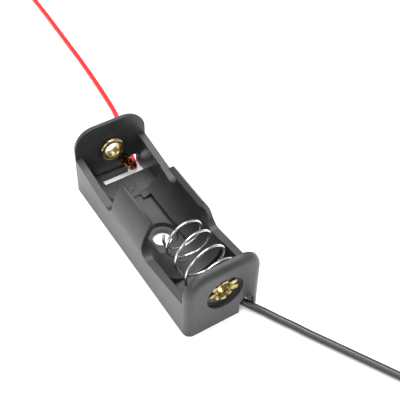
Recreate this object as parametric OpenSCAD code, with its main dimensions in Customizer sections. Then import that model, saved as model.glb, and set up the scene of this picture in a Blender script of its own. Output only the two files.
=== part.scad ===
/* [Cell] */
// Diameter of the cell that the holder takes
cell_d = 10.3; // [9:0.1:12]
// Length of the cell, from its base to the top of its button
cell_l = 28.5; // [27:0.5:34]
// Gap between the cell and its cradle, all round
cell_gap = 0.15; // [0.1:0.05:0.3]

/* [Housing] */
// Thickness of the long walls beside the cell
side_wall = 1.2; // [1:0.1:1.8]
// Thickness of the two end walls
end_wall = 1.4; // [1.3:0.1:2]
// Thickness of the floor under the cell
floor_t = 1.7; // [1.6:0.1:2.2]
// Height of the end walls above the axis of the cell
end_rise = 5.6; // [5.2:0.1:6.5]
// Radius of the top corners of the end walls
corner_r = 3.7; // [3:0.1:4]
// Rounding of the outer edges of the end walls
edge_r = 1.25; // [0.6:0.05:1.3]
// Depth of the rims under the axis of the cell, at the tongues
rim_drop = 1.35; // [1:0.05:1.6]
// Height of the rims above the axis of the cell, at the end walls
rim_end = 0.2; // [0:0.05:0.6]
// Half length of the round cradle under the cell
cradle_half = 9.5; // [8.5:0.1:11]

/* [Tongues] */
// Half length of each holding tongue
tongue_half = 4.6; // [3.5:0.1:5]
// Thickness of each tongue at its tip
tongue_tip = 0.95; // [0.7:0.05:1.1]
// Angle of the tongue tips above the axis of the cell
tongue_deg = 44; // [38:1:48]
// Rounding of the top corners of the tongues
tongue_round = 1.1; // [0.6:0.1:1.5]
// Fillet where the tongues rise from the rims
root_r = 1.8; // [1:0.1:2]

/* [Floor] */
// Radius of the screw hole
screw_r = 1.6; // [1.1:0.05:1.8]
// Floor left under the head of the screw
screw_seat = 0.8; // [0.7:0.05:1.1]
// Radius of the seat for the head of the screw
head_r = 2.35; // [2.1:0.05:2.5]
// Radius of the countersink at the floor
sink_r = 2.7; // [2.6:0.05:3]
// Depth of the cell outline that is sunk into the floor
outline_deep = 0.2; // [0.1:0.05:0.3]
// Half width of the cell outline
outline_half = 2.55; // [2.3:0.05:3]
// Width of the slot at the foot of each end wall
slot_w = 2.2; // [2:0.05:2.6]
// Reach of that slot past the middle of the wall
slot_reach = 2.7; // [2:0.1:3.5]

/* [Contacts] */
// Outer radius of the eyelets that hold the contacts
eyelet_r = 1.55; // [1.4:0.05:1.7]
// Thickness of the eyelet metal
eyelet_wall = 0.3; // [0.2:0.05:0.35]
// Radius of the rolled head of each eyelet
head_flange_r = 2.15; // [2:0.05:2.4]
// Clearance between the eyelet and its hole in the wall
eyelet_gap = 0.1; // [0.05:0.05:0.15]
// Number of petals that each eyelet is split into outside
petals = 8; // [5:1:9]
// Radius of the opened petals
petal_r = 2.3; // [2.2:0.05:2.5]
// Radius of the round recess outside each end wall
recess_r = 3.15; // [2.8:0.05:3.4]
// Depth of that recess
recess_deep = 0.7; // [0.65:0.05:0.8]
// Thickness of the terminal strips
strip_t = 0.3; // [0.2:0.05:0.4]
// Lean of the terminal strips away from upright
strip_deg = 31; // [26:1:36]

/* [Spring] */
// Diameter of the spring wire
wire_d = 0.45; // [0.4:0.05:0.6]
// Mean radius of the spring beside the wall
spring_r = 4.2; // [3.8:0.05:4.4]
// Loss of radius in each turn towards the cell
spring_taper = 0.3; // [0:0.05:0.35]
// Rise of the free end above the middle of the cell
spring_lift = 0.9; // [0:0.1:1]
// Free length of the spring from the wall
spring_free = 11.45; // [10.5:0.05:12.5]
// Open turns of the spring
spring_turns = 2.7; // [2.5:0.1:3.5]
// Room left for the spring behind a fitted cell
spring_room = 4.15; // [3.8:0.05:5]

/* [Leads] */
// Outer diameter of the black lead
black_d = 1.25; // [1.1:0.05:1.4]
// Outer diameter of the red lead
red_d = 0.9; // [0.8:0.05:1]
// Half width of the notch that lets each lead out
notch_r = 1.25; // [1.1:0.05:1.3]
// Distance of the notches from the middle of the wall
notch_y = 4; // [3.9:0.05:4.1]
// Length of bare conductor at the end of each lead
bare_l = 5; // [3:0.5:6]

/* [Hidden] */
$fn = 64;

// the cell, its cradle and the box around them
cradle_r = cell_d / 2 + cell_gap;
axis_z = floor_t + cradle_r;
body_w = 2 * (cradle_r + side_wall);
body_h = axis_z + end_rise;
flange_rise = (head_flange_r - eyelet_r + eyelet_wall) / 2;
contact_rise = strip_t + flange_rise;
bay_half = (cell_l + contact_rise + spring_room) / 2;
body_l = 2 * (bay_half + end_wall);
past = 1;
floor_step = 0.1;

// rims and tongues
rim_z = axis_z - rim_drop;
rim_end_z = axis_z + rim_end;
rim_level = tongue_half + root_r;
foot_z = rim_z + 0.35;
half_w = body_w / 2;
tip_y = (cradle_r + tongue_tip) * cos(tongue_deg);
tip_z = axis_z + (cradle_r + tongue_tip) * sin(tongue_deg);
tongue_top = tip_z + 0.1;

// arc of the back of a tongue: from the wall at foot_z to the outer corner of the tip
arc_dip = 0.6;
arc_z = foot_z - arc_dip;
arc_y = (half_w * half_w + arc_dip * arc_dip - tip_y * tip_y - (tip_z - arc_z) * (tip_z - arc_z))
    / (2 * (half_w - tip_y));
arc_r = norm([half_w - arc_y, arc_dip]);

// sunk outline of a cell in the floor
outline_x0 = -3.7;
outline_x1 = 8.15;
nub_l = 1.1;
nub_half = 1.2;

// contacts
hole_r = eyelet_r + eyelet_gap;
wall_left = end_wall - recess_deep;
curl_in = recess_deep - 0.05 - eyelet_wall;
washer_r = head_flange_r - 0.15;
slot_gap = 0.3;
notch_z = 2;
strip_half = 0.85;
barrel_wall = 0.25;
barrel_l = 2;
barrel_slack = 0.08;
tab_gap = 0.15;
black_end = 5.2;
red_end = 6.6;

// spring
spring_x = -bay_half + strip_t + wire_d / 2;
hook_r = eyelet_r + wire_d / 2 + 0.05;
hook_turns = 0.65;
base_turns = 1;
base_rise = 0.25;
end_turns = 1.3;
end_pitch = 1.5;
open_rise = spring_free - strip_t - wire_d - base_rise - end_turns * end_pitch;
pitch_growth = 1.2;
spring_phase = 17;
turn_steps = 20;

// leads: routes from the crimps out along the surface
black_route = [
    [-15.8, -2.2, 3.35], [-15.8, -2.7, 2.5], [-16, -3.15, 1.7], [-16.5, -3.6, 1.1],
    [-17.2, -4.1, 0.8], [-18.4, -4.8, 0.65], [-20.4, -5.9, 0.65], [-22.6, -7, 0.65],
    [-24.8, -8.2, 0.65], [-27, -9.3, 0.65], [-29.2, -10.5, 0.65], [-31.6, -11.8, 0.65],
    [-34, -13.1, 0.65], [-36.4, -14.4, 0.65], [-38.8, -15.7, 0.65], [-41.2, -17, 0.65],
    [-43.6, -18.3, 0.65], [-46, -19.6, 0.65], [-48.4, -20.9, 0.65]];
red_route = [
    [15.9, -2.9, 2.2], [15.9, -3.4, 1.4], [16.1, -3.85, 0.85], [16.7, -4.2, 0.6],
    [17.6, -4.5, 0.5], [19.4, -4.95, 0.5], [21.8, -5.6, 0.5], [24.4, -6.35, 0.5],
    [27, -7.05, 0.5], [29.6, -7.6, 0.5], [32.2, -8, 0.5], [34.8, -8.25, 0.5],
    [37.4, -8.5, 0.5], [40, -8.7, 0.5], [42.6, -8.9, 0.5], [45.2, -9.05, 0.5],
    [47.8, -9.2, 0.5], [50.4, -9.3, 0.5], [53, -9.4, 0.5], [55.6, -9.5, 0.5],
    [58.2, -9.6, 0.5], [60.8, -9.7, 0.5], [63.4, -9.8, 0.5], [66, -9.85, 0.5],
    [68.6, -9.9, 0.5], [71.2, -9.95, 0.5], [73.6, -10, 0.5], [76, -10, 0.5]];
black_turns = 2.75;
black_coil_r = 8.1;
black_coil_deg = 241.6;
red_turns = 2.75;
red_coil_r = 6.3;
red_coil_deg = 90;
tip_bend = 30;
core_share = 0.5;

function unit(v) = v / norm(v);
function along(p, i) = unit(p[min(i + 1, len(p) - 1)] - p[max(i - 1, 0)]);

// tube swept along a list of points, with its sides turned about a list of headings
module swept(points, headings, r, sides) {
    n = len(points);
    rings = [for (i = [0:n - 1])
        let (t = along(points, i), a = unit(cross(headings[i], t)), b = cross(t, a))
        for (k = [0:sides - 1])
            points[i] + r * (cos(360 * k / sides) * a + sin(360 * k / sides) * b)];
    walls = [for (i = [0:n - 2]) for (k = [0:sides - 1])
        [i * sides + k, (i + 1) * sides + k,
         (i + 1) * sides + (k + 1) % sides, i * sides + (k + 1) % sides]];
    caps = [[for (k = [0:sides - 1]) k], [for (k = [sides - 1:-1:0]) (n - 1) * sides + k]];
    polyhedron(points = rings, faces = concat(caps, walls));
}

// ---- housing ----

// solid block whose end faces are rounded into the sides and the top
module body_block() {
    hull()
        for (end = [-1, 1], side = [-1, 1])
            translate([end * (body_l / 2 - edge_r), 0, 0]) {
                translate([0, side * (body_w / 2 - edge_r), 0])
                    cylinder(r = edge_r, h = body_h - corner_r, $fn = 32);
                translate([0, side * (body_w / 2 - corner_r), body_h - corner_r])
                    rotate([0, 90, 0])
                        rotate_extrude($fn = 64)
                            translate([corner_r - edge_r, 0])
                                circle(r = edge_r, $fn = 24);
            }
}

// outline of a tongue seen from the side, with its root fillets
module tongue_side() {
    stem = tongue_top - tongue_round;
    translate([-tongue_half, 0])
        square([2 * tongue_half, stem]);
    translate([tongue_round - tongue_half, 0])
        square([2 * (tongue_half - tongue_round), tongue_top]);
    for (side = [-1, 1])
        translate([side * (tongue_half - tongue_round), stem])
            circle(r = tongue_round);
    difference() {
        translate([-rim_level, 0])
            square([2 * rim_level, rim_z + root_r]);
        for (side = [-1, 1])
            translate([side * rim_level, rim_z + root_r])
                circle(r = root_r);
    }
}

// space above the rims, between the end walls and round the tongues
module above_rims() {
    rotate([90, 0, 0])
        linear_extrude(body_w + 2 * past, center = true)
            difference() {
                polygon([[-bay_half, rim_end_z], [-rim_level, rim_z], [rim_level, rim_z],
                         [bay_half, rim_end_z], [bay_half, body_h + past],
                         [-bay_half, body_h + past]]);
                tongue_side();
            }
}

// space outside and above the curved tongues
module beside_tongues() {
    reach = 2 * body_w;
    rotate([90, 0, 90])
        linear_extrude(2 * cradle_half, center = true)
            difference() {
                translate([-body_w, arc_z])
                    square([2 * body_w, body_h]);
                for (side = [0, 1])
                    mirror([side, 0])
                        intersection() {
                            translate([arc_y, arc_z])
                                circle(r = arc_r, $fn = 128);
                            polygon([[0, 0], [reach, 0],
                                     [reach, axis_z + reach * tan(tongue_deg)], [0, axis_z]]);
                        }
            }
}

// bay for the cell: a round cradle in the middle, straight-sided at both ends
module cell_bay() {
    translate([0, 0, axis_z])
        rotate([0, 90, 0])
            cylinder(r = cradle_r, h = 2 * cradle_half, center = true, $fn = 96);
    for (end = [0, 1])
        mirror([end, 0, 0])
            translate([cradle_half, -cradle_r, floor_t - floor_step])
                cube([bay_half - cradle_half, 2 * cradle_r, body_h]);
}

// outline of a cell with its button, sunk into the cradle
module cell_outline() {
    translate([outline_x0, -outline_half, floor_t - outline_deep])
        cube([outline_x1 - outline_x0, 2 * outline_half, cradle_r]);
    translate([outline_x1 - past, -nub_half, floor_t - outline_deep])
        cube([nub_l + past, 2 * nub_half, cradle_r]);
}

// countersunk hole that fastens the holder down
module screw_hole() {
    translate([0, 0, -past])
        cylinder(r = screw_r, h = floor_t + past);
    translate([0, 0, screw_seat])
        cylinder(r1 = head_r, r2 = sink_r, h = floor_t - screw_seat);
    translate([0, 0, floor_t])
        cylinder(r = sink_r, h = cradle_r / 2);
}

// openings in and beside one end wall, on the +X end
module end_openings() {
    translate([body_l / 2 - recess_deep, 0, axis_z])
        rotate([0, 90, 0])
            cylinder(r = recess_r, h = recess_deep + past);
    translate([bay_half - past, 0, axis_z])
        rotate([0, 90, 0])
            cylinder(r = hole_r, h = end_wall + past);
    translate([bay_half - slot_gap, -notch_y - notch_r, -past])
        cube([slot_gap + end_wall + past, 2 * notch_r, past + notch_z]);
    translate([bay_half - slot_gap, -notch_y, notch_z])
        rotate([0, 90, 0])
            cylinder(r = notch_r, h = slot_gap + end_wall + past);
    translate([bay_half - slot_gap - slot_w, -cradle_r, -past])
        cube([slot_w, cradle_r + slot_reach, floor_t + 2 * past]);
}

module housing() {
    color("#2c2c2e")
        difference() {
            body_block();
            above_rims();
            beside_tongues();
            cell_bay();
            cell_outline();
            screw_hole();
            for (end = [0, 1])
                mirror([end, 0, 0])
                    end_openings();
        }
}

// ---- contacts, drawn at the +X end and mirrored to the other ----

// half section of an eyelet: rolled head, barrel and flared lip, for a given grip
module eyelet_section(grip) {
    bore_r = eyelet_r - eyelet_wall;
    roll = (head_flange_r - bore_r) / 2;
    intersection() {
        translate([bore_r + roll, 0])
            circle(r = roll);
        translate([bore_r, -roll])
            square([2 * roll, roll]);
    }
    translate([bore_r, 0])
        square([eyelet_wall, grip]);
    translate([eyelet_r + curl_in, grip])
        intersection() {
            difference() {
                circle(r = curl_in + eyelet_wall);
                circle(r = curl_in);
            }
            translate([-curl_in - eyelet_wall, 0])
                square(curl_in + eyelet_wall);
        }
    translate([eyelet_r + curl_in, grip + curl_in])
        square([petal_r - eyelet_r - curl_in, eyelet_wall]);
}

// tubular eyelet, split and opened into petals outside the wall
module eyelet(grip) {
    split_in = eyelet_r - eyelet_wall / 2;
    translate([bay_half + wall_left - grip, 0, axis_z])
        rotate([0, 90, 0])
            difference() {
                rotate_extrude()
                    eyelet_section(grip);
                for (k = [0:petals - 1])
                    rotate([0, 0, 360 * (k + 0.5) / petals])
                        translate([0, 0, grip])
                            linear_extrude(recess_deep)
                                polygon([[split_in, 0], [petal_r + past, -1.2],
                                         [petal_r + past, 1.2]]);
            }
}

// crimp barrel along +X, open in front where its two tabs meet
module crimp(lead_d) {
    bore_r = lead_d / 2 + barrel_slack;
    difference() {
        rotate([0, 90, 0])
            cylinder(r = bore_r + barrel_wall, h = barrel_l);
        translate([-past, 0, 0])
            rotate([0, 90, 0])
                cylinder(r = bore_r, h = barrel_l + 2 * past);
        translate([-past, -tab_gap / 2, -2 * bore_r])
            cube([barrel_l + 2 * past, tab_gap, 2 * bore_r]);
    }
}

// flat strip with a washer round the eyelet and a crimp barrel round the lead
module terminal(lead_d, end) {
    outer_r = lead_d / 2 + barrel_slack + barrel_wall;
    translate([bay_half - strip_t, 0, axis_z])
        rotate([-strip_deg, 0, 0])
            rotate([0, 90, 0]) {
                difference() {
                    union() {
                        cylinder(r = washer_r, h = strip_t);
                        translate([0, -strip_half, 0])
                            cube([end - barrel_l, 2 * strip_half, strip_t]);
                    }
                    translate([0, 0, -past])
                        cylinder(r = hole_r, h = strip_t + 2 * past);
                }
                translate([end - barrel_l, 0, strip_t - outer_r])
                    crimp(lead_d);
            }
}

module negative_eyelet() {
    color("#a08a4a")
        mirror([1, 0, 0])
            eyelet(wall_left + strip_t + wire_d);
}

module positive_eyelet() {
    color("#a08a4a")
        eyelet(wall_left + strip_t);
}

module negative_terminal() {
    color("#7a5a2e")
        mirror([1, 0, 0])
            terminal(black_d, black_end);
}

module positive_terminal() {
    color("#7a5a2e")
        terminal(red_d, red_end);
}

// ---- spring ----

// radius of the spring after u turns
function coil_r(u) =
    u < hook_turns ? hook_r
    : u < base_turns + 0.1
        ? hook_r + (spring_r - hook_r) * (u - hook_turns) / (base_turns + 0.1 - hook_turns)
    : spring_r - spring_taper * (u - base_turns);

// distance of the wire from the wall after u turns
function coil_x(u) =
    u < hook_turns ? 0
    : u < base_turns ? base_rise * (u - hook_turns) / (base_turns - hook_turns)
    : u < base_turns + spring_turns
        ? base_rise + open_rise * pow((u - base_turns) / spring_turns, pitch_growth)
    : base_rise + open_rise + end_pitch * (u - base_turns - spring_turns);

// height of the middle of the coil above the cell's middle after u turns
function coil_z(u) = spring_lift * max(0, u - base_turns) / (spring_turns + end_turns);

module contact_spring() {
    total = base_turns + spring_turns + end_turns;
    steps = round(total * turn_steps);
    us = [for (i = [0:steps]) total * i / steps];
    spokes = [for (u = us) [0, cos(360 * u + spring_phase), sin(360 * u + spring_phase)]];
    path = [for (i = [0:steps])
        [spring_x + coil_x(us[i]), 0, axis_z + coil_z(us[i])] + coil_r(us[i]) * spokes[i]];
    color("silver")
        swept(path, spokes, wire_d / 2, 8);
}

// ---- leads ----

module lead(route, d) {
    swept(route, [for (p = route) [0, 0, 1]], d / 2, 8);
}

// centre of the coil that a route runs into at its last point
function coil_centre(route, r, deg) =
    let (p = route[len(route) - 1]) [p[0] + r * cos(deg), p[1] - r * sin(deg), 0];

// outer form of a flat coil of so many turns
module lead_coil(centre, r, turns, d) {
    translate(centre)
        rotate_extrude()
            translate([r - turns * d - d / 2, 0.02])
                square([turns * d + d, d]);
}

module black_lead() {
    color("#1c1c1c")
        lead(black_route, black_d);
}

module red_lead() {
    color("#d81e24")
        lead(red_route, red_d);
}

module black_lead_coil() {
    color("#1c1c1c")
        lead_coil(coil_centre(black_route, black_coil_r, black_coil_deg), black_coil_r,
                  black_turns, black_d);
}

module red_lead_coil() {
    color("#d81e24")
        lead_coil(coil_centre(red_route, red_coil_r, red_coil_deg), red_coil_r,
                  red_turns, red_d);
}

// bare end that leaves the inner turn of a coil, bent in towards its middle
module lead_tip(centre, r, deg, turns, hand, d) {
    translate([centre[0], centre[1], d / 2 + 0.02])
        rotate([0, 0, 180 - deg + hand * 360 * turns])
            translate([r - turns * d, 0, 0])
                rotate([0, 0, hand * tip_bend])
                    rotate([-90 * hand, 0, 0])
                        cylinder(r = core_share * d / 2, h = bare_l, $fn = 24);
}

module black_lead_tip() {
    color("#c8c8c4")
        lead_tip(coil_centre(black_route, black_coil_r, black_coil_deg), black_coil_r,
                 black_coil_deg, black_turns, -1, black_d);
}

module red_lead_tip() {
    color("#c8c8c4")
        lead_tip(coil_centre(red_route, red_coil_r, red_coil_deg), red_coil_r,
                 red_coil_deg, red_turns, -1, red_d);
}

housing();
contact_spring();
negative_eyelet();
negative_terminal();
positive_eyelet();
positive_terminal();
black_lead();
black_lead_coil();
black_lead_tip();
red_lead();
red_lead_coil();
red_lead_tip();
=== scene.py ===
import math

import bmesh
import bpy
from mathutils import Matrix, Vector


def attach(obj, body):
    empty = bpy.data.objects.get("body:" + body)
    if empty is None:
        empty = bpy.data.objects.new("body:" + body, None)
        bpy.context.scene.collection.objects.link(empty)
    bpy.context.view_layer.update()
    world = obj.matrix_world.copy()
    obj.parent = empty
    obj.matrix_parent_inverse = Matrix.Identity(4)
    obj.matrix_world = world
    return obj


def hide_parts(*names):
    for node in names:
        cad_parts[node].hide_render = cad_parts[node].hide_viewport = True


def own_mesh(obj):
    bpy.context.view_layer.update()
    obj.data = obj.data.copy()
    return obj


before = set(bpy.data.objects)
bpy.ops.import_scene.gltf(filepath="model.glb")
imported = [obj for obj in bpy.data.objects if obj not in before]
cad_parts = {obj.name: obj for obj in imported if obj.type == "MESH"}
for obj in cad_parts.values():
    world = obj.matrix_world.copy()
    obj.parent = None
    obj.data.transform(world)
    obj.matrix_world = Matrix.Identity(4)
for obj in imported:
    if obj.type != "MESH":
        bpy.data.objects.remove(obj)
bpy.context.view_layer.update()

# %% [markdown]
# # A holder for one small round cell
# The real thing is one black moulding with a spring at one end, a plain contact at
# the other, and two leads. The solid model is already loaded as a frame, so every
# piece below is made in metres, in that frame.

MM = 0.001
scene = bpy.context.scene


def mm(*values):
    """A point or a size, given in millimetres."""
    return Vector(values) * MM


# %% [markdown]
# ## The camera
# A product picture of a small part is taken from about a hand's width with a longer
# lens. The camera comes first, because the leads must run out of its view and lie in
# their coils just outside it. Its turn is written as three angles about a point
# beside the holder, which is easier to correct than a matrix.

# %% Camera
AIM = mm(1.4365, -7.978, 3.9)
BACK_OFF = 144.28 * MM
turn, rise, lean = (math.radians(a) for a in (33.442, 48.044, 1.805))
back = Vector((-math.cos(rise) * math.cos(turn), math.cos(rise) * math.sin(turn), math.sin(rise)))
right = (-back).cross(Vector((0, 0, 1))).normalized()
up = right.cross(-back)
right, up = (math.cos(lean) * right + math.sin(lean) * up,
             math.cos(lean) * up - math.sin(lean) * right)
lens = bpy.data.cameras.new("camera")
lens.sensor_width, lens.lens = 36, 79.73
lens.clip_start, lens.clip_end = 0.01, 20
camera = bpy.data.objects.new("camera", lens)
placed = Matrix((right, up, back)).transposed().to_4x4()
placed.translation = AIM + BACK_OFF * back
camera.matrix_world = placed
scene.collection.objects.link(camera)
scene.camera = camera
print("camera at", [round(v / MM, 1) for v in placed.translation], "mm")

# %% [markdown]
# ## Helpers for materials
# Every finish starts from the Principled shader. Values that are the same all over
# are set on its own sockets. Only what varies over the surface comes through nodes.


# %% Material helpers
def finish_of(name, colour, **sockets):
    """A new material, its node tree and its shader, with plain values set."""
    material = bpy.data.materials.new(name)
    material.use_nodes = True
    shader = material.node_tree.nodes["Principled BSDF"]
    shader.inputs["Base Color"].default_value = (*colour, 1)
    for socket, value in sockets.items():
        shader.inputs[socket.replace("_", " ")].default_value = value
    return material, material.node_tree, shader


def node(tree, kind, **values):
    """A node of that kind. Values are sockets by name, or settings of the node."""
    made = tree.nodes.new(kind)
    for key, value in values.items():
        if hasattr(made, key):
            setattr(made, key, value)
        else:
            made.inputs[key.replace("_", " ")].default_value = value
    return made


def ramp(tree, source, low, high, at=(0.0, 1.0)):
    """A colour ramp from low to high, read from a value socket."""
    made = node(tree, "ShaderNodeValToRGB")
    ends = made.color_ramp.elements
    ends[0].position, ends[1].position = at
    ends[0].color, ends[1].color = (*low, 1), (*high, 1)
    tree.links.new(source, made.inputs["Fac"])
    return made.outputs["Color"]


def spread(tree, source, low, high):
    """A value that moves between low and high with a source from 0 to 1."""
    made = node(tree, "ShaderNodeMapRange")
    made.inputs["To Min"].default_value, made.inputs["To Max"].default_value = low, high
    tree.links.new(source, made.inputs["Value"])
    return made.outputs["Result"]


# %% [markdown]
# ## A shared grain
# Moulded plastic, drawn wire and lead insulation all have a fine unevenness. One node
# group makes it for all of them: noise at a chosen size, given out as a mask and as
# a normal.


# %% Grain group
def grain_group():
    group = bpy.data.node_groups.new("surface_grain", "ShaderNodeTree")
    for name, kind, value in (("Size", "NodeSocketFloat", 4000.0),
                              ("Height", "NodeSocketFloat", 0.00001),
                              ("Normal", "NodeSocketVector", None)):
        socket = group.interface.new_socket(name, in_out="INPUT", socket_type=kind)
        if value is not None:
            socket.default_value = value
    group.interface.new_socket("Mask", in_out="OUTPUT", socket_type="NodeSocketFloat")
    group.interface.new_socket("Normal", in_out="OUTPUT", socket_type="NodeSocketVector")
    inlet, outlet = node(group, "NodeGroupInput"), node(group, "NodeGroupOutput")
    place = node(group, "ShaderNodeTexCoord")
    noise = node(group, "ShaderNodeTexNoise", Detail=3.0, Roughness=0.6)
    bump = node(group, "ShaderNodeBump", Strength=1.0)
    link = group.links.new
    link(place.outputs["Object"], noise.inputs["Vector"])
    link(inlet.outputs["Size"], noise.inputs["Scale"])
    link(noise.outputs["Fac"], bump.inputs["Height"])
    link(inlet.outputs["Height"], bump.inputs["Distance"])
    link(inlet.outputs["Normal"], bump.inputs["Normal"])
    link(noise.outputs["Fac"], outlet.inputs["Mask"])
    link(bump.outputs["Normal"], outlet.inputs["Normal"])
    return group


GRAIN = grain_group()


def add_grain(tree, shader, size, height, under=None):
    """Puts the grain on a shader's normal, over another normal if one is given."""
    made = node(tree, "ShaderNodeGroup", node_tree=GRAIN)
    made.inputs["Size"].default_value, made.inputs["Height"].default_value = size, height
    base = under or node(tree, "ShaderNodeNewGeometry").outputs["Normal"]
    tree.links.new(base, made.inputs["Normal"])
    tree.links.new(made.outputs["Normal"], shader.inputs["Normal"])
    return made.outputs["Mask"]


# %% [markdown]
# ## The finish of the leads
# The insulation is soft vinyl: smooth, a little waxy, and hardly ever one even tone.
# The black one shows a grey streak of light along its upper side.


# %% Lead finishes
def jacket(name, low, high, rough):
    material, tree, shader = finish_of(name, high, Roughness=rough, Specular_IOR_Level=0.5,
                                       Coat_Weight=0.15, Coat_Roughness=0.2)
    mask = add_grain(tree, shader, 2500.0, 0.000004)
    tree.links.new(ramp(tree, mask, low, high, (0.3, 0.7)), shader.inputs["Base Color"])
    tree.links.new(spread(tree, mask, rough - 0.06, rough + 0.08), shader.inputs["Roughness"])
    return material


BLACK_JACKET = jacket("black_jacket", (0.010, 0.010, 0.011), (0.020, 0.020, 0.021), 0.38)
RED_JACKET = jacket("red_jacket", (0.56, 0.008, 0.010), (0.72, 0.016, 0.018), 0.36)
print("lead finishes:", BLACK_JACKET.name, RED_JACKET.name)

# %% [markdown]
# ## The leads
# Each lead is one length of hook-up wire. It leaves its crimp beside the end wall,
# drops through the notch to the surface and runs out of the picture. The rest of its
# length lies there in a flat coil. A bezier spline through the points is the natural
# way: it is one open curve, and its bevel gives the round section.


# %% Coil and route points
def coil_points(start, radius, degrees, turns, hand, diameter, per_turn=16):
    """Points of a flat coil that winds inwards by one diameter in each turn."""
    angle = math.radians(degrees)
    centre = Vector((start.x + radius * math.cos(angle), start.y - radius * math.sin(angle), 0))
    found = []
    for step in range(1, round(turns * per_turn) + 1):
        wound = step / per_turn
        at = math.pi - angle + hand * 2 * math.pi * wound
        reach = radius - wound * diameter
        found.append(centre + Vector((reach * math.cos(at), reach * math.sin(at), start.z)))
    return found, centre


def length_of(points):
    return sum((b - a).length for a, b in zip(points, points[1:]))


BLACK_D, RED_D = 1.25 * MM, 0.9 * MM
black_route = [mm(*p) for p in (
    (-15.8, -2.2, 3.35), (-15.8, -2.7, 2.5), (-16, -3.15, 1.7), (-16.5, -3.6, 1.1),
    (-17.2, -4.1, 0.8), (-18.4, -4.8, 0.65), (-20.4, -5.9, 0.65), (-22.6, -7, 0.65),
    (-24.8, -8.2, 0.65), (-27, -9.3, 0.65), (-29.2, -10.5, 0.65), (-31.6, -11.8, 0.65),
    (-34, -13.1, 0.65), (-36.4, -14.4, 0.65), (-38.8, -15.7, 0.65), (-41.2, -17, 0.65),
    (-43.6, -18.3, 0.65), (-46, -19.6, 0.65), (-48.4, -20.9, 0.65))]
red_route = [mm(*p) for p in (
    (15.9, -2.9, 2.2), (15.9, -3.4, 1.4), (16.1, -3.85, 0.85), (16.7, -4.2, 0.6),
    (17.6, -4.5, 0.5), (19.4, -4.95, 0.5), (21.8, -5.6, 0.5), (24.4, -6.35, 0.5),
    (27, -7.05, 0.5), (29.6, -7.6, 0.5), (32.2, -8, 0.5), (34.8, -8.25, 0.5),
    (37.4, -8.5, 0.5), (40, -8.7, 0.5), (42.6, -8.9, 0.5), (45.2, -9.05, 0.5),
    (47.8, -9.2, 0.5), (50.4, -9.3, 0.5), (53, -9.4, 0.5), (55.6, -9.5, 0.5),
    (58.2, -9.6, 0.5), (60.8, -9.7, 0.5), (63.4, -9.8, 0.5), (66, -9.85, 0.5),
    (68.6, -9.9, 0.5), (71.2, -9.95, 0.5), (73.6, -10, 0.5), (76, -10, 0.5))]
black_coil, black_centre = coil_points(black_route[-1], 8.1 * MM, 241.6, 2.75, -1, BLACK_D)
red_coil, red_centre = coil_points(red_route[-1], 6.3 * MM, 90, 2.75, -1, RED_D)
black_line, red_line = black_route + black_coil, red_route + red_coil
print("black lead", round(length_of(black_line) / MM, 1), "mm, red lead",
      round(length_of(red_line) / MM, 1), "mm")


# %% Lead curves
def lead_curve(name, points, diameter, material):
    """One round lead along its points."""
    data = bpy.data.curves.new(name, "CURVE")
    data.dimensions, data.fill_mode = "3D", "FULL"
    data.bevel_depth, data.bevel_resolution, data.resolution_u = diameter / 2, 4, 6
    data.use_fill_caps = True
    spline = data.splines.new("BEZIER")
    spline.bezier_points.add(len(points) - 1)
    for knot, point in zip(spline.bezier_points, points):
        knot.co = point
        knot.handle_left_type = knot.handle_right_type = "AUTO"
    data.materials.append(material)
    made = bpy.data.objects.new(name, data)
    scene.collection.objects.link(made)
    return made


black_lead = lead_curve("black_lead_wire", black_line, BLACK_D, BLACK_JACKET)
red_lead = lead_curve("red_lead_wire", red_line, RED_D, RED_JACKET)
for lead, slot_name, nodes in (
        (black_lead, "black_jacket", ("black_lead", "black_lead_coil")),
        (red_lead, "red_jacket", ("red_lead", "red_lead_coil"))):
    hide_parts(*nodes)
    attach(lead, "holder")

# %% [markdown]
# ## Sweeping wire with Geometry Nodes
# Wire, strands and moulded ridges are all a small section carried along a line. One
# tree does this: it takes a curve, sweeps a round section along it, closes the ends
# and sets the material. The section's radius and its number of sides are inputs.


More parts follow.
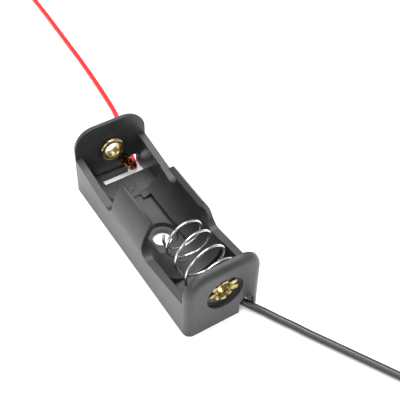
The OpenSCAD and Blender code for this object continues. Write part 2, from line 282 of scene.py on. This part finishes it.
# %% Sweep tree
def sweep_tree():
    tree = bpy.data.node_groups.new("sweep_round_section", "GeometryNodeTree")
    add = tree.interface.new_socket
    add("Geometry", in_out="INPUT", socket_type="NodeSocketGeometry")
    add("Radius", in_out="INPUT", socket_type="NodeSocketFloat")
    add("Sides", in_out="INPUT", socket_type="NodeSocketInt")
    add("Copies", in_out="INPUT", socket_type="NodeSocketInt")
    add("Material", in_out="INPUT", socket_type="NodeSocketMaterial")
    add("Geometry", in_out="OUTPUT", socket_type="NodeSocketGeometry")
    inlet, outlet = node(tree, "NodeGroupInput"), node(tree, "NodeGroupOutput")
    section = node(tree, "GeometryNodeCurvePrimitiveCircle")
    swept = node(tree, "GeometryNodeCurveToMesh")
    swept.inputs["Fill Caps"].default_value = True
    smooth = node(tree, "GeometryNodeSetShadeSmooth")
    places = node(tree, "GeometryNodePoints")
    copies = node(tree, "GeometryNodeInstanceOnPoints")
    number = node(tree, "GeometryNodeInputIndex")
    share = node(tree, "ShaderNodeMath", operation="DIVIDE")
    angle = node(tree, "ShaderNodeMath", operation="MULTIPLY")
    angle.inputs[1].default_value = 2 * math.pi
    about_z = node(tree, "ShaderNodeCombineXYZ")
    real = node(tree, "GeometryNodeRealizeInstances")
    paint = node(tree, "GeometryNodeSetMaterial")
    link = tree.links.new
    link(inlet.outputs["Radius"], section.inputs["Radius"])
    link(inlet.outputs["Sides"], section.inputs["Resolution"])
    link(inlet.outputs["Geometry"], swept.inputs["Curve"])
    link(section.outputs["Curve"], swept.inputs["Profile Curve"])
    link(swept.outputs["Mesh"], smooth.inputs["Geometry"])
    link(inlet.outputs["Copies"], places.inputs["Count"])
    link(places.outputs["Points"], copies.inputs["Points"])
    link(smooth.outputs["Geometry"], copies.inputs["Instance"])
    link(number.outputs["Index"], share.inputs[0])
    link(inlet.outputs["Copies"], share.inputs[1])
    link(share.outputs[0], angle.inputs[0])
    link(angle.outputs[0], about_z.inputs["Z"])
    link(about_z.outputs["Vector"], copies.inputs["Rotation"])
    link(copies.outputs["Instances"], real.inputs["Geometry"])
    link(real.outputs["Geometry"], paint.inputs["Geometry"])
    link(inlet.outputs["Material"], paint.inputs["Material"])
    link(paint.outputs["Geometry"], outlet.inputs["Geometry"])
    return tree


SWEEP = sweep_tree()


def sweep(name, lines, radius, material, sides=16, copies=1):
    """A plain mesh of a round section along one or more lines of points."""
    data = bpy.data.curves.new(name + "_line", "CURVE")
    data.dimensions = "3D"
    for line in lines:
        spline = data.splines.new("POLY")
        spline.points.add(len(line) - 1)
        for knot, point in zip(spline.points, line):
            knot.co = (*point, 1)
    source = bpy.data.objects.new(name + "_line", data)
    scene.collection.objects.link(source)
    step = source.modifiers.new("sweep", "NODES")
    step.node_group = SWEEP
    values = {"Radius": radius, "Sides": sides, "Copies": copies, "Material": material}
    for item in SWEEP.interface.items_tree:
        if item.in_out == "INPUT" and item.name in values:
            step[item.identifier] = values[item.name]
    bpy.context.view_layer.update()
    graph = bpy.context.evaluated_depsgraph_get()
    mesh = bpy.data.meshes.new_from_object(source.evaluated_get(graph))
    mesh.name = name
    bpy.data.objects.remove(source)
    made = bpy.data.objects.new(name, mesh)
    scene.collection.objects.link(made)
    print(name, len(mesh.vertices), "vertices")
    return made


# %% [markdown]
# ## The bare ends
# Each lead ends stripped, with seven fine strands twisted together and tinned. Six
# strands wind round a straight one, so the sweep tree makes one helix and turns
# copies of it about the middle. The strand is then set at the end of the coil.


# %% Tinned strands
def tinned():
    material, tree, shader = finish_of("tinned_strand", (0.62, 0.62, 0.60), Metallic=1.0,
                                       Roughness=0.3)
    mask = add_grain(tree, shader, 6000.0, 0.000003)
    tree.links.new(ramp(tree, mask, (0.45, 0.44, 0.42), (0.70, 0.69, 0.67), (0.3, 0.7)),
                   shader.inputs["Base Color"])
    tree.links.new(spread(tree, mask, 0.24, 0.42), shader.inputs["Roughness"])
    return material


TINNED = tinned()
BARE = 5 * MM
STRAND_STEPS, TWIST = 40, 2.6 * math.pi


def bare_end(name, node_name, centre, line, diameter, hand):
    """Seven twisted strands where the coil's inner turn ends."""
    core = diameter / 4
    strand = core / 3
    winding = [Vector((2 * strand * math.cos(t), 2 * strand * math.sin(t), BARE * s / STRAND_STEPS))
               for s in range(STRAND_STEPS + 1) for t in [TWIST * s / STRAND_STEPS]]
    around = sweep(name + "_around", [winding], strand, TINNED, sides=8, copies=6)
    middle = sweep(name, [[Vector((0, 0, 0)), Vector((0, 0, BARE))]], strand, TINNED, sides=8)
    whole = bmesh.new()
    whole.from_mesh(around.data)
    whole.from_mesh(middle.data)
    whole.to_mesh(middle.data)
    whole.free()
    bpy.data.objects.remove(around)
    spoke = line[-1] - centre
    ahead = Vector((-spoke.y, spoke.x, 0)).normalized() * hand
    ahead.rotate(Matrix.Rotation(hand * math.radians(30), 3, "Z"))
    stand = Matrix((Vector((0, 0, 1)).cross(ahead), Vector((0, 0, 1)), ahead)).transposed()
    stand = stand.to_4x4()
    stand.translation = line[-1]
    middle.data.transform(stand)
    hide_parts(node_name)
    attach(middle, "holder")
    return middle


black_tip = bare_end("black_lead_strands", "black_lead_tip", black_centre, black_line, BLACK_D, -1)
red_tip = bare_end("red_lead_strands", "red_lead_tip", red_centre, red_line, RED_D, -1)

# %% [markdown]
# ## The moulding's finish
# The housing is black plastic from a tool that was polished on its sides and eroded
# on its upper faces, so the sides are satin and the rims and floor have a fine grain.
# Its edges are slightly rounded, as every moulded edge is. The Bevel node rounds
# them in the shading, which suits a solid that must keep its exact shape.


# %% Black plastic
def black_plastic(name, base, rough, edge):
    material, tree, shader = finish_of(name, base, Roughness=rough, Specular_IOR_Level=0.5)
    rounded = node(tree, "ShaderNodeBevel", samples=6, Radius=edge)
    mask = add_grain(tree, shader, 3800.0, 0.000007, rounded.outputs["Normal"])
    facing = node(tree, "ShaderNodeSeparateXYZ")
    tree.links.new(node(tree, "ShaderNodeNewGeometry").outputs["Normal"], facing.inputs["Vector"])
    upward = node(tree, "ShaderNodeMapRange", clamp=True)
    upward.inputs["From Min"].default_value = 0.5
    upward.inputs["From Max"].default_value = 0.95
    tree.links.new(facing.outputs["Z"], upward.inputs["Value"])
    patchy = node(tree, "ShaderNodeTexNoise", Scale=260.0, Detail=2.0)
    tree.links.new(node(tree, "ShaderNodeTexCoord").outputs["Object"], patchy.inputs["Vector"])
    mixed = node(tree, "ShaderNodeMath", operation="MULTIPLY_ADD")
    tree.links.new(mask, mixed.inputs[0])
    mixed.inputs[1].default_value = 0.5
    tree.links.new(patchy.outputs["Fac"], mixed.inputs[2])
    dark = tuple(v * 0.8 for v in base)
    light = tuple(v * 1.3 for v in base)
    tree.links.new(ramp(tree, mixed.outputs[0], dark, light, (0.45, 1.05)),
                   shader.inputs["Base Color"])
    tree.links.new(spread(tree, upward.outputs["Result"], rough, rough + 0.14),
                   shader.inputs["Roughness"])
    return material


PLASTIC = black_plastic("black_plastic", (0.030, 0.031, 0.032), 0.36, 0.00022)
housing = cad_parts["housing"]
for place in housing.material_slots:
    place.material = PLASTIC
print("housing faces:", len(housing.data.polygons))

# %% [markdown]
# ## Marks in the floor
# The floor carries the usual marks: a circled plus at the contact end and a circled
# minus at the spring end. Each is a fine raised line of the same plastic. The sweep
# tree lays a thin round ridge along each line, half sunk in the floor.


# %% Circled signs
def arc_line(x, y, z, radius, start=0.0, end=360.0, steps=40):
    """Points on an arc that lies flat."""
    return [mm(x + radius * math.cos(a), y + radius * math.sin(a), z)
            for a in (math.radians(start + (end - start) * s / steps) for s in range(steps + 1))]


POCKET_Z, RIDGE = 1.6, 0.07 * MM
PLUS_X, MINUS_X = 12.0, -5.8
plus_lines = [arc_line(PLUS_X, 0, POCKET_Z, 1.5),
              [mm(11.1, 0, POCKET_Z), mm(12.9, 0, POCKET_Z)],
              [mm(PLUS_X, -0.9, POCKET_Z), mm(PLUS_X, 0.9, POCKET_Z)]]
plus_sign = sweep("plus_sign", plus_lines, RIDGE, PLASTIC, sides=8)
minus_lines = [arc_line(MINUS_X, -0.2, 1.78, 1.0),
               [mm(MINUS_X, -0.8, 1.75), mm(MINUS_X, 0.4, 1.75)]]
minus_sign = sweep("minus_sign", minus_lines, RIDGE, PLASTIC, sides=8)
for sign in (plus_sign, minus_sign):
    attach(sign, "holder")

# %% [markdown]
# ## The spring
# The contact at the minus end is wound from one piece of nickel-plated wire. It hooks
# round the eyelet, makes a flat turn on the wall and then opens towards the cell,
# getting narrower. The line follows the same rule as the solid model, with finer
# steps, and the sweep tree gives it a round section. It hangs on a body of its own. A
# turn runs through the crimp.

# %% Spring values
BAY_HALF = 16.70625
WALL_X = -BAY_HALF
STRIP_T, WIRE = 0.3, 0.45
AXIS_Z = 7.0
HOOK_R = 1.55 + WIRE / 2 + 0.05
SPRING_R, TAPER, LIFT = 4.2, 0.3, 0.9
HOOK, BASE, OPEN, END = 0.65, 1.0, 2.7, 1.3
WIDE_AT = BASE + 0.1
STEPS_A_TURN, FIRST_DEGREES = 36, 17
BASE_RISE, END_PITCH, GROWTH, FREE = 0.25, 1.5, 1.2, 11.45
OPEN_RISE = FREE - STRIP_T - WIRE - BASE_RISE - END * END_PITCH


def spring_radius(u):
    if u < HOOK:
        return HOOK_R
    if u < WIDE_AT:
        return HOOK_R + (SPRING_R - HOOK_R) * (u - HOOK) / (WIDE_AT - HOOK)
    return SPRING_R - TAPER * (u - BASE)


def spring_reach(u):
    if u < HOOK:
        return 0
    if u < BASE:
        return BASE_RISE * (u - HOOK) / (BASE - HOOK)
    if u < BASE + OPEN:
        return BASE_RISE + OPEN_RISE * ((u - BASE) / OPEN) ** GROWTH
    return BASE_RISE + OPEN_RISE + END_PITCH * (u - BASE - OPEN)


# %% Spring wire
def nickel():
    material, tree, shader = finish_of("nickel_wire", (0.74, 0.73, 0.70), Metallic=1.0,
                                       Roughness=0.2)
    mask = add_grain(tree, shader, 5000.0, 0.000002)
    tree.links.new(ramp(tree, mask, (0.56, 0.54, 0.51), (0.80, 0.79, 0.76), (0.3, 0.65)),
                   shader.inputs["Base Color"])
    tree.links.new(spread(tree, mask, 0.14, 0.3), shader.inputs["Roughness"])
    return material


NICKEL = nickel()
TURNS = BASE + OPEN + END
spring_line = []
for step in range(round(TURNS * STEPS_A_TURN) + 1):
    u = step / STEPS_A_TURN
    swing = math.radians(360 * u + FIRST_DEGREES)
    rise_z = LIFT * max(0, u - BASE) / (OPEN + END)
    reach = spring_radius(u)
    spring_line.append(mm(WALL_X + STRIP_T + WIRE / 2 + spring_reach(u), reach * math.cos(swing),
                          AXIS_Z + rise_z + reach * math.sin(swing)))
spring = sweep("spring_wire", [spring_line], WIRE / 2 * MM, NICKEL, sides=16)
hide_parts("contact_spring")
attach(spring, "spring")
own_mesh(spring)
print("spring wire length", round(length_of(spring_line) / MM, 1), "mm")

# %% [markdown]
# ## The eyelets
# A brass eyelet goes through each end wall and holds the contacts. Its head inside
# is a smooth rolled ring. Outside, the setting tool has split its edge into petals
# and laid them down in a round recess. The ring and the tube are turned from one
# profile, each petal is a bent tab of its own, and Solidify gives the thickness.


# %% Brass finish
def brass(name, low, high, rough, tarnish):
    material, tree, shader = finish_of(name, high, Metallic=1.0, Roughness=rough)
    mask = add_grain(tree, shader, 3000.0, 0.000004)
    cloud = node(tree, "ShaderNodeTexNoise", Scale=900.0, Detail=3.0)
    tree.links.new(node(tree, "ShaderNodeTexCoord").outputs["Object"], cloud.inputs["Vector"])
    tree.links.new(ramp(tree, cloud.outputs["Fac"], low, high, tarnish), shader.inputs["Base Color"])
    tree.links.new(spread(tree, mask, rough - 0.08, rough + 0.14), shader.inputs["Roughness"])
    return material


EYELET_BRASS = brass("eyelet_brass", (0.30, 0.22, 0.08), (0.62, 0.50, 0.24), 0.26, (0.35, 0.6))
STRIP_BRASS = brass("strip_brass", (0.10, 0.045, 0.02), (0.42, 0.26, 0.12), 0.3, (0.4, 0.68))


# %% Eyelet shape
AROUND = 72
GRIPPED_WALL = 0.7
SKIRT_R = 1.44


def ring_of(made, radius, x, angles):
    return [made.verts.new((x, radius * math.cos(a), radius * math.sin(a))) for a in angles]


def eyelet(name, node_name, side, grip, petals):
    """An eyelet along X: side is the sign of its end, petals are (degrees, half width,
    reach, lift) with lengths in millimetres."""
    made = bmesh.new()
    around = [2 * math.pi * k / AROUND for k in range(AROUND)]
    start = BAY_HALF + GRIPPED_WALL - grip
    profile = [(2.08, 0.02), (2.13, -0.12), (2.05, -0.3), (1.88, -0.4), (1.7, -0.42),
               (1.54, -0.34), (SKIRT_R, -0.18), (1.4, 0.05), (1.4, grip - 0.15),
               (SKIRT_R, grip + 0.08)]
    rows = [ring_of(made, r, start + x, around) for r, x in profile]
    for inner, outer in zip(rows, rows[1:]):
        for k in range(AROUND):
            n = (k + 1) % AROUND
            made.faces.new((inner[k], inner[n], outer[n], outer[k]))
    for degrees, half, reach, lift in petals:
        strip = []
        for share in (0.0, 0.2, 0.42, 0.65, 0.85, 1.0):
            radius = SKIRT_R + (reach - SKIRT_R) * share
            bend = lift * math.sin(share * math.pi * 0.5) - 0.10 * share * share
            x = start + grip + 0.08 + bend
            spread_now = half * (1 - 0.5 * share - 0.25 * (share > 0.9))
            angles = [math.radians(degrees + spread_now * t / 3) for t in range(-3, 4)]
            strip.append([made.verts.new((x + 0.06 * share * abs(t - 3) / 3,
                                          radius * math.cos(a), radius * math.sin(a)))
                          for t, a in enumerate(angles)])
        for low, high in zip(strip, strip[1:]):
            for t in range(6):
                made.faces.new((low[t], low[t + 1], high[t + 1], high[t]))
    bmesh.ops.recalc_face_normals(made, faces=made.faces)
    if side < 0:
        bmesh.ops.scale(made, vec=(-1, 1, 1), verts=made.verts)
        bmesh.ops.reverse_faces(made, faces=made.faces)
    bmesh.ops.scale(made, vec=(MM, MM, MM), verts=made.verts)
    bmesh.ops.translate(made, vec=(0, 0, AXIS_Z * MM), verts=made.verts)
    for face in made.faces:
        face.smooth = True
    mesh = bpy.data.meshes.new(name)
    made.to_mesh(mesh)
    made.free()
    mesh.materials.append(EYELET_BRASS)
    piece = bpy.data.objects.new(name, mesh)
    scene.collection.objects.link(piece)
    wall = piece.modifiers.new("wall", "SOLIDIFY")
    wall.thickness, wall.offset = 0.22 * MM, 0
    finer = piece.modifiers.new("finer", "SUBSURF")
    finer.levels = finer.render_levels = 1
    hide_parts(node_name)
    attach(piece, "holder")
    print(name, len(mesh.vertices), "vertices, ", len(petals), "petals")
    return piece


near_petals = [(38, 20, 2.3, 0.12), (-4, 16, 2.35, 0.12), (-45, 20, 1.8, 0.25),
               (-90, 22, 1.9, 0.25), (-134, 19, 1.7, 0.25), (-172, 19, 2.6, 0.2),
               (150, 17, 2.5, 0.2), (97, 24, 2.1, 0.15)]
far_petals = [(22 + 45 * k, 20, 2.2 + 0.1 * (k % 3), 0.15) for k in range(8)]
near_eyelet = eyelet("negative_eyelet_brass", "negative_eyelet", -1,
                     GRIPPED_WALL + STRIP_T + WIRE, near_petals)
far_eyelet = eyelet("positive_eyelet_brass", "positive_eyelet", 1, GRIPPED_WALL + STRIP_T,
                    far_petals)

# %% [markdown]
# ## The terminals
# A thin brass strip lies under each eyelet. Below its ring it is pressed into two
# crimps: a narrow one that grips the bare strands, and a wider one that grips the
# insulation. Each crimp is a sheet bent round a line, so its section is an open ring
# carried along the strip, and Solidify makes it sheet metal.


# %% Terminal shape
RING_STEPS = 48


def terminal(name, node_name, side, diameter, end):
    """A strip with its ring and two crimps. Local x runs down the strip, z to the wall."""
    made = bmesh.new()
    thick = STRIP_T / 2
    outer, inner = 2.0, 1.66
    ring_a = [made.verts.new((outer * math.cos(a), outer * math.sin(a), thick))
              for a in (2 * math.pi * k / RING_STEPS for k in range(RING_STEPS))]
    ring_b = [made.verts.new((inner * math.cos(a), inner * math.sin(a), thick))
              for a in (2 * math.pi * k / RING_STEPS for k in range(RING_STEPS))]
    for k in range(RING_STEPS):
        n = (k + 1) % RING_STEPS
        made.faces.new((ring_a[k], ring_a[n], ring_b[n], ring_b[k]))
    tube = diameter / MM / 2 + 0.2
    middle = STRIP_T - (diameter / MM / 2 + 0.33)
    core = 0.62
    first = end - 2.15
    stages = [(1.75, 0.85, None), (first - 0.55, 0.78, None), (first - 0.45, core, 150),
              (first + 0.35, core, 158), (first + 0.5, 0.75, 120), (end - 1.35, tube, 128),
              (end - 1.2, tube, 163), (end - 0.05, tube, 165), (end, tube + 0.04, 165)]
    rows = []
    for x, size, wrap in stages:
        row = []
        for t in range(-8, 9):
            if wrap is None:
                row.append(made.verts.new((x, size * t / 8, thick)))
            else:
                a = math.radians(wrap * t / 8)
                row.append(made.verts.new((x, size * math.sin(a),
                                           middle + size * math.cos(a))))
        rows.append(row)
    for low, high in zip(rows, rows[1:]):
        for t in range(16):
            made.faces.new((low[t], low[t + 1], high[t + 1], high[t]))
    bmesh.ops.recalc_face_normals(made, faces=made.faces)
    lean_over = math.radians(-31)
    down = Vector((0, math.sin(lean_over), -math.cos(lean_over)))
    across = Vector((0, math.cos(lean_over), math.sin(lean_over)))
    stand = Matrix((down, across, Vector((1, 0, 0)))).transposed().to_4x4()
    stand.translation = Vector((BAY_HALF - STRIP_T, 0, AXIS_Z))
    bmesh.ops.transform(made, matrix=stand, verts=made.verts)
    if side < 0:
        bmesh.ops.scale(made, vec=(-1, 1, 1), verts=made.verts)
        bmesh.ops.reverse_faces(made, faces=made.faces)
    bmesh.ops.scale(made, vec=(MM, MM, MM), verts=made.verts)
    for face in made.faces:
        face.smooth = True
    mesh = bpy.data.meshes.new(name)
    made.to_mesh(mesh)
    made.free()
    mesh.materials.append(STRIP_BRASS)
    piece = bpy.data.objects.new(name, mesh)
    scene.collection.objects.link(piece)
    wall = piece.modifiers.new("sheet", "SOLIDIFY")
    wall.thickness, wall.offset = 0.24 * MM, 0
    edge = piece.modifiers.new("edge", "BEVEL")
    edge.width, edge.segments, edge.limit_method = 0.03 * MM, 2, "ANGLE"
    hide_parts(node_name)
    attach(piece, "holder")
    print(name, len(mesh.vertices), "vertices")
    return piece


near_terminal = terminal("negative_terminal_strip", "negative_terminal", -1, BLACK_D, 5.2)
far_terminal = terminal("positive_terminal_strip", "positive_terminal", 1, RED_D, 6.6)

# %% [markdown]
# ## Floor and light
# The part lies on plain white paper that is lit from above. Paper that is lit evenly
# is close to white by itself; the rest of the way to pure white is a little glow that
# only straight views and reflections see, so that it adds no light to the part.


# %% Floor
def paper():
    material, tree, shader = finish_of("white_paper", (0.86, 0.86, 0.86), Roughness=0.9)
    rays = node(tree, "ShaderNodeLightPath")
    seen = node(tree, "ShaderNodeMath", operation="MAXIMUM")
    tree.links.new(rays.outputs["Is Camera Ray"], seen.inputs[0])
    tree.links.new(rays.outputs["Is Glossy Ray"], seen.inputs[1])
    amount = node(tree, "ShaderNodeMath", operation="MULTIPLY")
    amount.inputs[1].default_value = 0.28
    tree.links.new(seen.outputs[0], amount.inputs[0])
    shader.inputs["Emission Color"].default_value = (1, 1, 1, 1)
    tree.links.new(amount.outputs[0], shader.inputs["Emission Strength"])
    return material


floor_mesh = bpy.data.meshes.new("floor")
SIDE = 3.0
floor_mesh.from_pydata([(-SIDE, -SIDE, 0), (SIDE, -SIDE, 0), (SIDE, SIDE, 0),
                        (-SIDE, SIDE, 0)], [], [(0, 1, 2, 3)])
floor_mesh.materials.append(paper())
floor = bpy.data.objects.new("floor", floor_mesh)
scene.collection.objects.link(floor)


# %% World and lamps
def lamp(name, place, target, size, power):
    light = bpy.data.lights.new(name, "AREA")
    light.shape, light.size, light.energy = "DISK", size, power
    made = bpy.data.objects.new(name, light)
    made.location = place
    made.rotation_euler = (target - place).to_track_quat("-Z", "Y").to_euler()
    scene.collection.objects.link(made)
    return made


world = bpy.data.worlds.new("studio")
world.use_nodes = True
scene.world = world
sky = world.node_tree
glow = sky.nodes["Background"]
glow.inputs["Color"].default_value = (1, 1, 1, 1)
glow.inputs["Strength"].default_value = 0.45
lamp("overhead", Vector((0.10, -0.05, 0.60)), Vector((0, 0, 0)), 0.55, 6.0)
lamp("left_fill", Vector((-0.25, 0.45, 0.40)), Vector((0, 0, 0)), 0.30, 1.2)
scene.view_settings.view_transform = "Standard"
